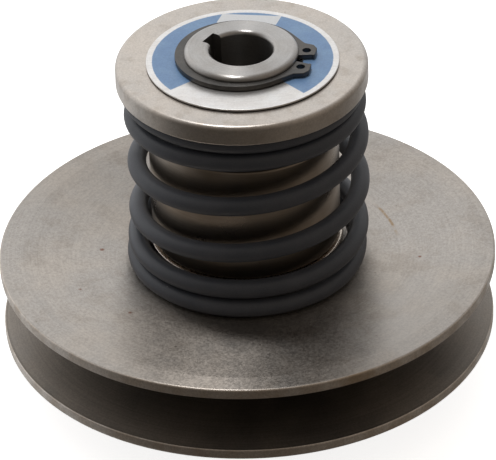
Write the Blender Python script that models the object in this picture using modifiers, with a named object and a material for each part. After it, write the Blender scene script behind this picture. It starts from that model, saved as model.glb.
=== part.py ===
"""Spring-loaded variable-speed V-belt pulley, standing on its set-screw boss.

The axis is +Z through the origin, and the origin is at the centre of the boss's lower face.
Run it with: blender --background --python part.py
"""

import math

import bpy
import bmesh
from mathutils import Matrix, Vector

MM = 0.001
GAP = 0.3  # clearance between neighbouring pieces, in millimetres like every length below

# Flanges and belt groove
FLANGE_R = 63.5
FIXED_FLANGE_R = 63.2
RIM_EDGE = 0.7  # the cone faces start this far inside the rims
RIM = 3.0  # height of the fixed flange's rim
MOVABLE_RIM = 2.8
FACE_ANGLE = math.radians(13)  # each cone face, from the plane across the axis
FIXED_RIM_Z = 12.0  # underside of the fixed flange's rim
GROOVE_AT_RIM = 15.6  # groove width between the rims when closed
FACE_EDGE_R = FLANGE_R - RIM_EDGE
RIM_BAND_R = 58.0  # the outer sides are flat from here to the rim, and dished inside
DISH = 2.6  # depth of the dish where the spring sits

# Hub sleeve and shaft bore
BORE_R = 15.875 / 2
KEY_WIDTH = 4.76
KEYWAY_TOP_R = 9.96
KEYWAY_ANGLE = 146.0  # degrees round from +X
SLEEVE_R = 28.575 / 2
SHOULDER_R = 17.5
SHOULDER = 4.0
SLEEVE_TOP = 92.3
RUN_R = SLEEVE_R + GAP  # bores that pass over the sleeve

# Boss of the fixed flange, with its set screws
BOSS_R = 20.6
SCREW_ANGLES = {"set_screw_on_key": KEYWAY_ANGLE, "set_screw_on_shaft": KEYWAY_ANGLE - 90}
SCREW_R = 6.35 / 2
SCREW_LENGTH = 10.0
SCREW_Z = 8.3
SCREW_TIP_R = 8.4
SOCKET_FLATS = 3.175
SOCKET_DEPTH = 3.6

# Movable flange's hub and what it holds
FLANGE_BOSS_R = 24.7
FLANGE_BOSS_TOP = 38.9
SPIGOT_R = 21.0
COLLAR_R = 24.0
COLLAR_TOP = 71.0
POCKET_R = 19.0
BUSHING_LENGTH = 13.4
WIPER = 2.1
WIPER_SETBACK = 0.5
LAND_GAP = 0.6  # between the sleeve and the collar's land, inside the bushings

# Keys
DRIVE_KEY_ANGLES = {"drive_key_front": 233.0, "drive_key_back": 53.0}
DRIVE_KEY_LOW, DRIVE_KEY_HIGH = 42.0, 66.0
KEY_SEAT_R = 12.3
KEY_TOP_R = 16.3
KEY_CLEARANCE = 0.15
FLANGE_KEY_LOW, FLANGE_KEY_HIGH = 9.0, 20.0
FLANGE_KEY_TOP_R = 16.7

# Spring cap, plate and retaining ring
CAP_R = 31.55
CAP_LOW = 83.4
CAP_TOP = 88.7
LIP_DEPTH = 1.2
LIP_R = 30.7
THIN_GAP = 0.25  # above and below the plate, and beside the ring in its groove
PLATE_R = 24.1
PLATE_BORE_R = 15.1
PLATE = 0.45
PLATE_OFFSET = (0.30, -0.42)  # the plate lies a little off-centre, to the front and right
RING = 1.25
RING_ANGLE = -12.5  # degrees round from +X to the ring's gap
RING_OFFSET = (-0.12, -0.20)  # the ring sits towards one side of its groove
RING_SEAT_R = 13.5
RING_GROOVE_R = 13.0
RING_WIDEST = 2.95
RING_NARROWEST = 2.1
RING_HALF_GAP = 1.2
ARM_START = math.radians(44)  # the tapered arms end this far from the gap
LUG = ((18.3, RING_HALF_GAP), (18.3, 5.4), (17.2, 6.9), (14.8, 7.4))  # along the gap, and away from it
LUG_HOLE_R = 1.1
LUG_HOLE_REACH = 16.4
LUG_HOLE_ANGLES = (14.0, -14.0)  # degrees from the ring's gap

# Spring
WIRE_R = 4.75 / 2
COIL_R = 28.2
COIL_LIFT = 4.95  # the closed end coils are this far from the next one
LOW_TIP, HIGH_TIP = -0.42, 5.40  # turns, counted from the front of the lowest coil
CLIMB_START, CLIMB_TURNS = 0.10, 0.48  # where the wire climbs over its own lower tip
OPEN_START, OPEN_BLEND = 0.70, 0.90  # where the coils begin to open, and the turns it takes
CLOSE_END, CLOSE_BLEND = 4.10, 0.30  # where they are closed again, and the turns it takes
LEAN = 1.05  # the spring bows this far towards +X at half height
POINTS_PER_TURN = 20

# Segments round the turned pieces
FLANGE_ROUND = 64
CAP_ROUND = 56
ROUND = 44
INNER_ROUND = 32

FIXED_RIM_TOP = FIXED_RIM_Z + RIM
MOVABLE_RIM_Z = FIXED_RIM_TOP + GROOVE_AT_RIM
MOVABLE_RIM_TOP = MOVABLE_RIM_Z + MOVABLE_RIM
MEETING_Z = (FIXED_RIM_TOP + MOVABLE_RIM_Z) / 2
SPRING_SEAT_Z = MOVABLE_RIM_TOP - DISH
SPRING_SEAT_R = COIL_R + WIRE_R
HUB_FACE_R = FACE_EDGE_R - (GROOVE_AT_RIM - GAP) / 2 / math.tan(FACE_ANGLE)
CAP_UNDERSIDE = CAP_LOW + LIP_DEPTH
PLATE_LOW = CAP_TOP + THIN_GAP
RING_LOW = PLATE_LOW + PLATE + THIN_GAP
COIL_LOW = SPRING_SEAT_Z + GAP + WIRE_R  # heights of the wire's centre in the first and last coils
COIL_HIGH = CAP_UNDERSIDE - GAP - WIRE_R
COIL_PITCH = ((COIL_HIGH - COIL_LOW - 2 * COIL_LIFT)
              / (CLOSE_END - OPEN_START - (OPEN_BLEND + CLOSE_BLEND) / 2))


def clear_scene():
    for obj in list(bpy.data.objects):
        bpy.data.objects.remove(obj, do_unlink=True)


def collection(name, shown=True):
    made = bpy.data.collections.new(name)
    bpy.context.scene.collection.children.link(made)
    made.hide_render = not shown
    return made


def material(name, colour, roughness, metallic):
    made = bpy.data.materials.new(name)
    made.use_nodes = True
    shader = made.node_tree.nodes["Principled BSDF"]
    shader.inputs["Base Color"].default_value = (*colour, 1.0)
    shader.inputs["Roughness"].default_value = roughness
    shader.inputs["Metallic"].default_value = metallic
    return made


def add(name, mesh, paint=None, cutter=False):
    obj = bpy.data.objects.new(name, mesh)
    (cutters if cutter else parts).objects.link(obj)
    if cutter:
        obj.hide_render = True
        obj.display_type = "WIRE"
    if paint:
        mesh.materials.append(paint)
    return obj


def filleted(corners, steps):
    """Points round an outline whose corners are (r, z) or (r, z, fillet radius)."""
    points = []
    for index, corner in enumerate(corners):
        here = Vector(corner[:2])
        if len(corner) == 2:
            points.append(here)
            continue
        before = (Vector(corners[index - 1][:2]) - here).normalized()
        after = (Vector(corners[(index + 1) % len(corners)][:2]) - here).normalized()
        half = before.angle(after) / 2
        centre = here + (before + after).normalized() * corner[2] / math.sin(half)
        start = (here + before * corner[2] / math.tan(half) - centre).normalized()
        end = (here + after * corner[2] / math.tan(half) - centre).normalized()
        points += [centre + start.slerp(end, step / steps) * corner[2] for step in range(steps + 1)]
    return points


def turned(name, corners, paint, segments=ROUND, fillet_steps=3):
    """A ring turned from a closed outline that runs down its outer side and up its bore."""
    outline = filleted(corners, fillet_steps)
    mesh = bpy.data.meshes.new(name)
    loop = [(index, (index + 1) % len(outline)) for index in range(len(outline))]
    mesh.from_pydata([(r * MM, 0, z * MM) for r, z in outline], loop, [])
    obj = add(name, mesh, paint)
    screw = obj.modifiers.new("turn", "SCREW")
    screw.steps = screw.render_steps = segments
    screw.use_merge_vertices = True
    screw.merge_threshold = 0.00001
    screw.use_smooth_shade = True
    return obj


def cut(obj, cutter):
    boolean = obj.modifiers.new("cut " + cutter.name, "BOOLEAN")
    boolean.operation = "DIFFERENCE"
    boolean.object = cutter


def placed_radially(mesh, degrees, radius, height):
    """Moves a mesh built along +X out to a radius and height, then turns it round the axis."""
    turn = Matrix.Rotation(math.radians(degrees), 4, "Z")
    mesh.transform(turn @ Matrix.Translation((radius * MM, 0, height * MM)))


def block(name, inner_r, outer_r, width, low, high, degrees, paint=None, cutter=False):
    """A box that spans two radii and two heights, centred on an angle round the axis."""
    shape = bmesh.new()
    bmesh.ops.create_cube(shape, size=1.0)
    bmesh.ops.scale(shape, vec=((outer_r - inner_r) * MM, width * MM, (high - low) * MM), verts=shape.verts)
    mesh = bpy.data.meshes.new(name)
    shape.to_mesh(mesh)
    shape.free()
    placed_radially(mesh, degrees, (inner_r + outer_r) / 2, (low + high) / 2)
    return add(name, mesh, paint, cutter)


def round_ended_key(name, inner_r, outer_r, width, low, high, degrees, paint=None, cutter=False):
    """A feather key with round ends: a stadium outline with its thickness along the radius."""
    end_r = width / 2
    shape = bmesh.new()
    rim = []
    for centre, start in ((high - end_r, 0.0), (low + end_r, math.pi)):
        for step in range(9):
            angle = start + math.pi * step / 8
            rim.append(shape.verts.new((inner_r * MM, end_r * math.cos(angle) * MM,
                                        (centre + end_r * math.sin(angle)) * MM)))
    face = shape.faces.new(rim)
    grown = bmesh.ops.extrude_face_region(shape, geom=[face])
    moved = [item for item in grown["geom"] if isinstance(item, bmesh.types.BMVert)]
    bmesh.ops.translate(shape, vec=((outer_r - inner_r) * MM, 0, 0), verts=moved)
    bmesh.ops.recalc_face_normals(shape, faces=shape.faces)
    mesh = bpy.data.meshes.new(name)
    shape.to_mesh(mesh)
    shape.free()
    placed_radially(mesh, degrees, 0, 0)
    return add(name, mesh, paint, cutter)


def radial_rod(name, inner_r, outer_r, rod_r, height, degrees, sides=24, paint=None, cutter=False):
    """A cylinder or prism whose own axis runs out along a radius."""
    shape = bmesh.new()
    bmesh.ops.create_cone(shape, cap_ends=True, segments=sides, radius1=rod_r * MM, radius2=rod_r * MM,
                          depth=(outer_r - inner_r) * MM, matrix=Matrix.Rotation(math.pi / 2, 4, "Y"))
    mesh = bpy.data.meshes.new(name)
    shape.to_mesh(mesh)
    shape.free()
    placed_radially(mesh, degrees, (inner_r + outer_r) / 2, height)
    return add(name, mesh, paint, cutter)


def make_hub_sleeve():
    """Turned sleeve: shoulder at the foot, ring groove near the top, rounded ends."""
    groove_low, groove_high = RING_LOW - THIN_GAP, RING_LOW + RING + THIN_GAP
    sleeve = turned("hub_sleeve", [
        (BORE_R, SLEEVE_TOP, 1.0), (SLEEVE_R, SLEEVE_TOP, 1.3), (SLEEVE_R, groove_high),
        (RING_GROOVE_R, groove_high), (RING_GROOVE_R, groove_low), (SLEEVE_R, groove_low),
        (SLEEVE_R, SHOULDER), (SHOULDER_R, SHOULDER), (SHOULDER_R, 0), (BORE_R, 0, 0.6),
    ], steel)
    cut(sleeve, block("shaft_keyway", 0, KEYWAY_TOP_R, KEY_WIDTH, -5, SLEEVE_TOP + 5, KEYWAY_ANGLE,
                      cutter=True))
    for name, degrees in DRIVE_KEY_ANGLES.items():
        cut(sleeve, round_ended_key(name + "_seat", KEY_SEAT_R - KEY_CLEARANCE, SLEEVE_R + 5,
                                    KEY_WIDTH + 2 * KEY_CLEARANCE, DRIVE_KEY_LOW - KEY_CLEARANCE,
                                    DRIVE_KEY_HIGH + KEY_CLEARANCE, degrees, cutter=True))
    cut(sleeve, flange_key_seat)
    for hole in screw_holes:
        cut(sleeve, hole)


def make_fixed_flange():
    """Lower flange: cone face up, dished underside, boss with a counterbore for the sleeve's shoulder."""
    flange = turned("fixed_flange", [
        (RUN_R, MEETING_Z - GAP / 2), (HUB_FACE_R, MEETING_Z - GAP / 2),
        (FIXED_FLANGE_R - RIM_EDGE, FIXED_RIM_TOP), (FIXED_FLANGE_R, FIXED_RIM_TOP, 0.5),
        (FIXED_FLANGE_R, FIXED_RIM_Z, 1.0), (RIM_BAND_R, FIXED_RIM_Z),
        (SPRING_SEAT_R, FIXED_RIM_Z + DISH), (BOSS_R, FIXED_RIM_Z + DISH, 1.5), (BOSS_R, 0, 0.8),
        (SHOULDER_R + GAP, 0), (SHOULDER_R + GAP, SHOULDER + GAP), (RUN_R, SHOULDER + GAP),
    ], flange_steel, FLANGE_ROUND, 2)
    cut(flange, flange_key_seat)
    for hole in screw_holes:
        cut(flange, hole)


def make_movable_flange():
    """Upper flange: cone face down, dished top with a low boss round the hub."""
    turned("movable_flange", [
        (SPIGOT_R + GAP, FLANGE_BOSS_TOP), (FLANGE_BOSS_R, FLANGE_BOSS_TOP, 0.4),
        (FLANGE_BOSS_R, SPRING_SEAT_Z), (SPRING_SEAT_R, SPRING_SEAT_Z), (RIM_BAND_R, MOVABLE_RIM_TOP),
        (FLANGE_R, MOVABLE_RIM_TOP, 0.6), (FLANGE_R, MOVABLE_RIM_Z, 0.5), (FACE_EDGE_R, MOVABLE_RIM_Z),
        (HUB_FACE_R, MEETING_Z + GAP / 2), (SPIGOT_R + GAP, MEETING_Z + GAP / 2),
    ], flange_steel, FLANGE_ROUND, 2)


def make_movable_hub():
    """Collar whose spigot is pressed into the movable flange, with a bushing pocket at each end."""
    low = MEETING_Z + GAP / 2
    foot = FLANGE_BOSS_TOP + GAP
    pocket = WIPER_SETBACK + WIPER + BUSHING_LENGTH + 2 * GAP
    land_low, land_high = low + pocket, COLLAR_TOP - pocket
    land_r = SLEEVE_R + LAND_GAP
    hub = turned("movable_hub", [
        (POCKET_R, COLLAR_TOP, 0.4), (COLLAR_R, COLLAR_TOP, 0.8), (COLLAR_R, foot, 0.4),
        (SPIGOT_R, foot), (SPIGOT_R, low), (POCKET_R, low), (POCKET_R, land_low), (land_r, land_low),
        (land_r, land_high), (POCKET_R, land_high),
    ], polished_steel)
    for name, degrees in DRIVE_KEY_ANGLES.items():
        cut(hub, block(name + "_way", RUN_R - 3, KEY_TOP_R + GAP, KEY_WIDTH + 2 * GAP,
                       low - 5, COLLAR_TOP + 5, degrees, cutter=True))


def make_bushings_and_wipers():
    """At each end of the hub: a bronze bushing with two keyways, and a felt wiper outside it."""
    low_end, high_end = MEETING_Z + GAP / 2, COLLAR_TOP
    outer_r = POCKET_R - GAP
    near = WIPER_SETBACK
    far = near + WIPER + GAP
    for side, end, way in (("lower", low_end, 1), ("upper", high_end, -1)):
        wiper_low, wiper_high = sorted((end + way * near, end + way * (near + WIPER)))
        turned(side + "_wiper", [(RUN_R, wiper_high), (outer_r, wiper_high), (outer_r, wiper_low),
                                 (RUN_R, wiper_low)], felt, INNER_ROUND)
        bush_low, bush_high = sorted((end + way * far, end + way * (far + BUSHING_LENGTH)))
        bushing = turned(side + "_bushing", [(RUN_R, bush_high), (outer_r, bush_high), (outer_r, bush_low),
                                             (RUN_R, bush_low)], bronze, INNER_ROUND)
        for name, degrees in DRIVE_KEY_ANGLES.items():
            cut(bushing, block(side + "_" + name + "_way", RUN_R - 3, KEY_TOP_R + GAP, KEY_WIDTH + 2 * GAP,
                               bush_low - 5, bush_high + 5, degrees, cutter=True))


def make_keys():
    for name, degrees in DRIVE_KEY_ANGLES.items():
        round_ended_key(name, KEY_SEAT_R, KEY_TOP_R, KEY_WIDTH, DRIVE_KEY_LOW, DRIVE_KEY_HIGH, degrees,
                        key_steel)
    block("flange_key", KEY_SEAT_R, FLANGE_KEY_TOP_R, KEY_WIDTH, FLANGE_KEY_LOW, FLANGE_KEY_HIGH,
          KEYWAY_ANGLE + 180, key_steel)


def make_set_screws():
    """Cup-point socket set screws that reach through the boss and the sleeve."""
    for name, degrees in SCREW_ANGLES.items():
        head_r = SCREW_TIP_R + SCREW_LENGTH
        screw = radial_rod(name, SCREW_TIP_R, head_r, SCREW_R, SCREW_Z, degrees, paint=black_steel)
        socket_r = SOCKET_FLATS / math.sqrt(3)
        cut(screw, radial_rod(name + "_socket", head_r - SOCKET_DEPTH, head_r + 2, socket_r, SCREW_Z,
                              degrees, sides=6, cutter=True))


def make_spring_cap():
    """Round retainer: rounded top edge, shallow lip round the spring's last coil."""
    turned("spring_cap", [
        (RUN_R, CAP_TOP), (CAP_R, CAP_TOP, 1.3), (CAP_R, CAP_LOW, 0.4), (LIP_R, CAP_LOW),
        (LIP_R, CAP_UNDERSIDE), (RUN_R, CAP_UNDERSIDE),
    ], cap_steel, CAP_ROUND, 4)


def make_cap_plate():
    plate = turned("cap_plate", [
        (PLATE_BORE_R, PLATE_LOW + PLATE), (PLATE_R, PLATE_LOW + PLATE), (PLATE_R, PLATE_LOW),
        (PLATE_BORE_R, PLATE_LOW),
    ], plate_paint)
    plate.location.xy = Vector(PLATE_OFFSET) * MM


def ring_outline():
    """The ring's outline with its gap towards +X: tapered arms, then a lug on each side of the gap."""
    inner_r = RING_SEAT_R
    outer, inner = [], []
    steps = 32
    for step in range(steps + 1):
        angle = ARM_START + (2 * math.pi - 2 * ARM_START) * step / steps
        share = (1 - math.cos(angle)) / 2
        width = RING_NARROWEST + (RING_WIDEST - RING_NARROWEST) * share
        outer.append(((inner_r + width) * math.cos(angle), (inner_r + width) * math.sin(angle)))
    gap_angle = math.asin(RING_HALF_GAP / inner_r)
    for step in range(steps + 1):
        angle = 2 * math.pi - gap_angle - (2 * math.pi - 2 * gap_angle) * step / steps
        inner.append((inner_r * math.cos(angle), inner_r * math.sin(angle)))
    mirrored = [(x, -y) for x, y in reversed(LUG)]
    return [*LUG, *outer, *mirrored, *inner]


def make_retaining_ring():
    """Flat 2D curve with two plier holes in the lugs, turned to its place."""
    curve = bpy.data.curves.new("retaining_ring", "CURVE")
    curve.dimensions = "2D"
    curve.fill_mode = "BOTH"
    curve.extrude = RING / 2 * MM
    outlines = [ring_outline()]
    for angle in map(math.radians, LUG_HOLE_ANGLES):
        x, y = LUG_HOLE_REACH * math.cos(angle), LUG_HOLE_REACH * math.sin(angle)
        turns = [2 * math.pi * step / 12 for step in range(12)]
        outlines.append([(x + LUG_HOLE_R * math.cos(turn), y + LUG_HOLE_R * math.sin(turn)) for turn in turns])
    for outline in outlines:
        spline = curve.splines.new("POLY")
        spline.points.add(len(outline) - 1)
        spline.use_cyclic_u = True
        for point, (x, y) in zip(spline.points, outline):
            point.co = (x * MM, y * MM, 0, 1)
    curve.materials.append(black_steel)
    ring = bpy.data.objects.new("retaining_ring", curve)
    parts.objects.link(ring)
    ring.location = Vector((*RING_OFFSET, RING_LOW + RING / 2)) * MM
    ring.rotation_euler.z = math.radians(RING_ANGLE)


def eased(value):
    """0 to 1 with a soft start and end."""
    value = min(max(value, 0.0), 1.0)
    return value * value * (3 - 2 * value)


def coil_height(turns):
    """Height of the wire's centre: a closed coil, a step onto it, the open coils, and the same at the top."""
    first_step = eased((turns - CLIMB_START) / CLIMB_TURNS)
    last_step = eased(1 - (LOW_TIP + HIGH_TIP - turns - CLIMB_START) / CLIMB_TURNS)
    opened = max(turns - OPEN_START, 0.0)
    rise = opened - OPEN_BLEND / 2 if opened > OPEN_BLEND else opened * opened / (2 * OPEN_BLEND)
    closing = min(max(turns - CLOSE_END + CLOSE_BLEND, 0.0), CLOSE_BLEND)
    beyond = max(turns - CLOSE_END, 0.0)
    rise -= closing * closing / (2 * CLOSE_BLEND) + beyond
    return COIL_LOW + COIL_LIFT * (first_step + last_step) + COIL_PITCH * rise


def coil_centre(turns):
    """Where the coil's centre lies along X: the spring bows a little to one side."""
    share = (turns - LOW_TIP) / (HIGH_TIP - LOW_TIP)
    return LEAN * math.sin(math.pi * share) ** 2


def make_spring():
    """Right-hand helix from the closed coil on the flange to the closed coil under the cap."""
    curve = bpy.data.curves.new("compression_spring", "CURVE")
    curve.dimensions = "3D"
    curve.bevel_depth = WIRE_R * MM
    curve.bevel_resolution = 2
    curve.use_fill_caps = True
    count = round((HIGH_TIP - LOW_TIP) * POINTS_PER_TURN)
    spline = curve.splines.new("POLY")
    spline.points.add(count)
    for index, point in enumerate(spline.points):
        turns = LOW_TIP + (HIGH_TIP - LOW_TIP) * index / count
        angle = 2 * math.pi * (turns - 0.25)
        x, y = COIL_R * math.cos(angle) + coil_centre(turns), COIL_R * math.sin(angle)
        point.co = (x * MM, y * MM, coil_height(turns) * MM, 1)
    curve.materials.append(spring_coat)
    spring = bpy.data.objects.new("compression_spring", curve)
    parts.objects.link(spring)


clear_scene()
parts = collection("variable_speed_pulley")
cutters = collection("cutters", shown=False)

steel = material("turned_steel", (0.42, 0.40, 0.37), 0.35, 1.0)
flange_steel = material("flange_steel", (0.33, 0.30, 0.27), 0.42, 1.0)
polished_steel = material("polished_steel", (0.30, 0.26, 0.22), 0.18, 1.0)
cap_steel = material("cap_steel", (0.48, 0.44, 0.39), 0.38, 1.0)
key_steel = material("key_steel", (0.40, 0.40, 0.40), 0.30, 1.0)
black_steel = material("black_steel", (0.03, 0.03, 0.03), 0.45, 0.8)
spring_coat = material("spring_coat", (0.06, 0.07, 0.08), 0.60, 0.0)
plate_paint = material("plate_paint", (0.20, 0.32, 0.55), 0.40, 0.3)
bronze = material("bronze", (0.50, 0.33, 0.14), 0.35, 1.0)
felt = material("felt", (0.35, 0.33, 0.30), 0.95, 0.0)

flange_key_seat = block("flange_key_seat", KEY_SEAT_R - KEY_CLEARANCE, FLANGE_KEY_TOP_R + KEY_CLEARANCE,
                        KEY_WIDTH + 2 * KEY_CLEARANCE, FLANGE_KEY_LOW - KEY_CLEARANCE,
                        FLANGE_KEY_HIGH + KEY_CLEARANCE, KEYWAY_ANGLE + 180, cutter=True)
screw_holes = [radial_rod(name + "_hole", 2.0, BOSS_R + 5, SCREW_R + GAP, SCREW_Z, degrees, cutter=True)
               for name, degrees in SCREW_ANGLES.items()]

make_hub_sleeve()
make_fixed_flange()
make_movable_flange()
make_movable_hub()
make_bushings_and_wipers()
make_keys()
make_set_screws()
make_spring_cap()
make_cap_plate()
make_retaining_ring()
make_spring()
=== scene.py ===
"""Spring-loaded variable-speed V-belt pulley: looks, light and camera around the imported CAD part.

Lengths are in millimetres and turned into metres by MM. The pulley's axis is +Z through the origin.
"""

import math

import bmesh
import bpy
from mathutils import Matrix, Vector


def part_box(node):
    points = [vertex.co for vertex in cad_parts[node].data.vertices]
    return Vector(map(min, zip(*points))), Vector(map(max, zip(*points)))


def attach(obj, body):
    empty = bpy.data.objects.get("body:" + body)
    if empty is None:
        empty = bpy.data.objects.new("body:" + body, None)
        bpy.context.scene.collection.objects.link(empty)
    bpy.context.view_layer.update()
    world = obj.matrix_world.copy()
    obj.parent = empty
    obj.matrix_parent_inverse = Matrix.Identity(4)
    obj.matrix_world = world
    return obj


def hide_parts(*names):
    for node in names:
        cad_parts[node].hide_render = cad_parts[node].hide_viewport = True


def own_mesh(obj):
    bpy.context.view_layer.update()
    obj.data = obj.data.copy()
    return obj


MM = 0.001
FINE = 192  # segments round the large turned pieces
ROUND = 128  # and round the small ones
SHARP = math.radians(28)  # edges steeper than this are shaded as edges
TURN_R = 45  # the radius at which turning marks have their stated length

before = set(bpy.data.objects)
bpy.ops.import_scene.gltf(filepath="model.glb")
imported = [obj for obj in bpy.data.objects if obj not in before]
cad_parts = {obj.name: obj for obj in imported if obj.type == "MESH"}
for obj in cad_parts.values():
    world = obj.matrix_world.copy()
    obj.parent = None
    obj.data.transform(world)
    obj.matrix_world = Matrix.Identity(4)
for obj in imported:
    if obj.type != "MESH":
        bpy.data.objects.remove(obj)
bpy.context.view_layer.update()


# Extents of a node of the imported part, in millimetres

def low(node):
    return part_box(node)[0].z / MM


def high(node):
    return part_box(node)[1].z / MM


def reach(node):
    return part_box(node)[1].x / MM


# Sizes that match the part, in millimetres and degrees round from +X

GAP = 0.3  # clearance between neighbouring pieces

# Sleeve, shaft bore and keys
SLEEVE_TOP = high("hub_sleeve")
SLEEVE_R = 14.29
BORE_R = 7.94
RUN_R = SLEEVE_R + GAP  # bores that pass over the sleeve
SHOULDER_R = 17.5
SHOULDER_TOP = 4.0
KEYWAY_ANGLE = 146.0
KEYWAY_TOP_R = 9.96
KEY_WIDTH = 4.76
KEY_EDGE = 0.25
SEAT_R = 12.3  # flat bottom of the key seats
SEAT_DEPTH_GAP = 0.15
DRIVE_KEYS = {"drive_key_front": 233.0, "drive_key_back": 53.0}
DRIVE_KEY_LENGTH = 24.0
DRIVE_KEY_MIDDLE = 54.0
DRIVE_KEY_TOP_R = 16.3
FLANGE_KEY_LENGTH = 11.0
FLANGE_KEY_MIDDLE = 14.5
FLANGE_KEY_TOP_R = 16.7

# Set screws
SCREWS = {"set_screw_on_key": KEYWAY_ANGLE, "set_screw_on_shaft": KEYWAY_ANGLE - 90}
SCREW_Z = 8.3
SCREW_R = 3.175
SCREW_HOLE = (2.0, 26.0)  # from inside the bore to past the boss
SCREW_TIP_R = 8.4
SCREW_HEAD_R = 18.4
SOCKET_CORNER_R = 1.833
SOCKET_DEPTH = 3.6
THREADS = 11
THREAD_PITCH = 0.8
THREAD_DEPTH = 0.35

# Flanges
FLANGE_R = reach("movable_flange")
FIXED_FLANGE_R = 63.2
RIM_EDGE = 0.7  # the cone faces start this far inside the rims
HUB_FACE_R = 29.66  # the cone faces meet the flat middle here
FIXED_RIM_Z = 12.0
FIXED_RIM_TOP = 15.0
MOVABLE_RIM_Z = 30.6
MOVABLE_RIM_TOP = 33.4
DISH = 2.6
BAND_R = 58.0  # the outer sides are flat from here to the rim, and dished inside
SEAT_EDGE_R = 30.575
LOWER_BOSS_R = 20.6
COUNTERBORE_R = 17.8
COUNTERBORE_TOP = 4.3
BOSS_R = 24.7
SPIGOT_BORE_R = 21.3

# Collar, bushings and wipers
COLLAR_R = 24.0
SPIGOT_R = 21.0
POCKET_R = 19.0
POCKET = 16.6
LAND_R = 14.9
BUSHING_R = 18.7

# Cap, plate and retaining ring
CAP_LIP = 1.2
CAP_LIP_R = 30.7
PLATE_R = 24.1
PLATE_BORE_R = 15.1
PLATE_OFFSET = (0.30, -0.42)
RING_ANGLE = -12.5
RING_OFFSET = (-0.12, -0.20)
RING_SEAT_R = 13.5
RING_GROOVE_R = 13.0
RING_GROOVE_GAP = 0.25
RING_NARROWEST = 2.1
RING_WIDENING = 0.85
RING_HALF_GAP = 1.2
ARM_START = math.radians(44)  # the tapered arms end this far from the gap
LUG = ((18.3, RING_HALF_GAP, 0.4), (18.3, 5.4, 0.9), (17.2, 6.9, 1.2), (14.8, 7.4, 1.6), (11.3, 10.9))
LUG_HOLE_R = 1.1
LUG_HOLE_REACH = 16.4
LUG_HOLE_ANGLES = (14.0, -14.0)

# Spring; turns are counted from the front of the lowest coil
COIL_R = 28.2
WIRE_R = 2.375
COIL_LOW = low("compression_spring") + WIRE_R
COIL_HIGH = high("compression_spring") - WIRE_R
COIL_LIFT = 4.95  # the closed end coils are this far from the next one
LOW_TIP, HIGH_TIP = -0.42, 5.40
CLIMB_START, CLIMB_TURNS = 0.10, 0.48  # where the wire climbs over its own lower tip
OPEN_START, OPEN_BLEND = 0.70, 0.90  # where the coils begin to open, and the turns it takes
CLOSE_END, CLOSE_BLEND = 4.10, 0.30  # where they are closed again, and the turns it takes
LEAN = 1.05  # the spring bows this far towards +X at half height
WIRE_CHAMFER = 0.35
COIL_PITCH = ((COIL_HIGH - COIL_LOW - 2 * COIL_LIFT)
              / (CLOSE_END - OPEN_START - (OPEN_BLEND + CLOSE_BLEND) / 2))


# Meshes

def filleted(corners, steps):
    """Points round an outline whose corners are (r, z) or (r, z, fillet radius)."""
    points = []
    for index, corner in enumerate(corners):
        here = Vector(corner[:2])
        if len(corner) == 2:
            points.append(here)
            continue
        before = (Vector(corners[index - 1][:2]) - here).normalized()
        after = (Vector(corners[(index + 1) % len(corners)][:2]) - here).normalized()
        half = before.angle(after) / 2
        centre = here + (before + after).normalized() * corner[2] / math.sin(half)
        start = (here + before * corner[2] / math.tan(half) - centre).normalized()
        end = (here + after * corner[2] / math.tan(half) - centre).normalized()
        points += [centre + start.slerp(end, step / steps) * corner[2] for step in range(steps + 1)]
    return points


def piece(mesh, body, replaced, slot, *materials):
    """A shown mesh that stands for a CAD node, with smooth faces between its sharp edges."""
    mesh.name = replaced + "_fine"
    for look in materials:
        mesh.materials.append(look)
    mesh.shade_smooth()
    mesh.set_sharp_from_angle(angle=SHARP)
    obj = bpy.data.objects.new(mesh.name, mesh)
    bpy.context.scene.collection.objects.link(obj)
    even = obj.modifiers.new("even shading", "WEIGHTED_NORMAL")
    even.keep_sharp = True
    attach(obj, body)
    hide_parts(replaced)
    return obj


def turned_mesh(corners, segments=ROUND, fillet_steps=6, cutters=()):
    """A closed ring turned from an outline that runs down its outer side and up its bore."""
    outline = filleted(corners, fillet_steps)
    count = len(outline)
    points, faces = [], []
    for segment in range(segments):
        angle = 2 * math.pi * segment / segments
        points += [(r * math.cos(angle) * MM, r * math.sin(angle) * MM, z * MM) for r, z in outline]
        here, there = segment * count, (segment + 1) % segments * count
        for index in range(count):
            after = (index + 1) % count
            faces.append((here + index, here + after, there + after, there + index))
    mesh = bpy.data.meshes.new("turned")
    mesh.from_pydata(points, [], faces)
    return cut_mesh(mesh, cutters)


def cut_mesh(mesh, cutters):
    """The mesh with the cutter meshes taken out of it."""
    if not cutters:
        return mesh
    made = [bpy.data.objects.new("cutting", data) for data in (mesh, *cutters)]
    for obj in made:
        bpy.context.scene.collection.objects.link(obj)
    for cutter in made[1:]:
        boolean = made[0].modifiers.new("cut", "BOOLEAN")
        boolean.object = cutter
        boolean.solver = "EXACT"
    solid = made[0].evaluated_get(bpy.context.evaluated_depsgraph_get())
    result = bpy.data.meshes.new_from_object(solid)
    for obj in made:
        bpy.data.objects.remove(obj)
    shape = bmesh.new()
    shape.from_mesh(result)
    bmesh.ops.remove_doubles(shape, verts=shape.verts, dist=0.000002)
    bmesh.ops.dissolve_degenerate(shape, edges=shape.edges, dist=0.000002)
    shape.to_mesh(result)
    shape.free()
    return result


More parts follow.
